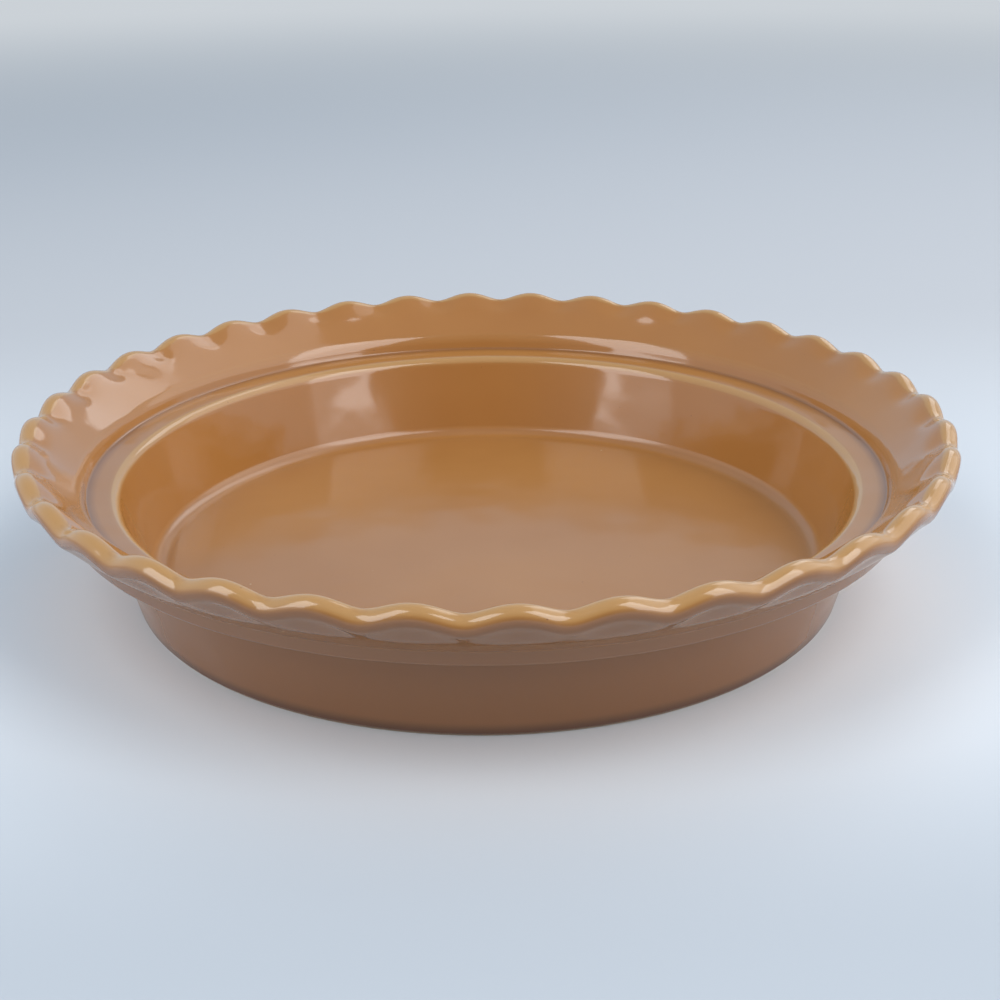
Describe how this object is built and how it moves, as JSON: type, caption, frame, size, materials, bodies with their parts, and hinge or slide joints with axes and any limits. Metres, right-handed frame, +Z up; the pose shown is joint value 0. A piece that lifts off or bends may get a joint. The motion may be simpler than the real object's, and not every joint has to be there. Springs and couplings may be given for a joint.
{
  "type": "pie dish",
  "caption": "Round glazed stoneware pie dish with a flat floor, a narrow shelf and a flared rim of small scallops, for baking and serving a pie.",
  "frame": {"origin": "centre of the foot ring, on the plane that the dish stands on", "axes": "+Z up along the axis of the dish, +X out through the crest of one scallop"},
  "size_m": [0.28, 0.28, 0.0513],
  "materials": {
    "bare_stoneware": "matte, fired buff clay",
    "honey_glaze": "gloss, honey brown glaze that breaks golden on the edges"
  },
  "bodies": {
    "root": {"stoneware_body": "bare_stoneware", "glaze_coat": "honey_glaze", "base_glaze": "honey_glaze"}
  },
  "joints": []
}
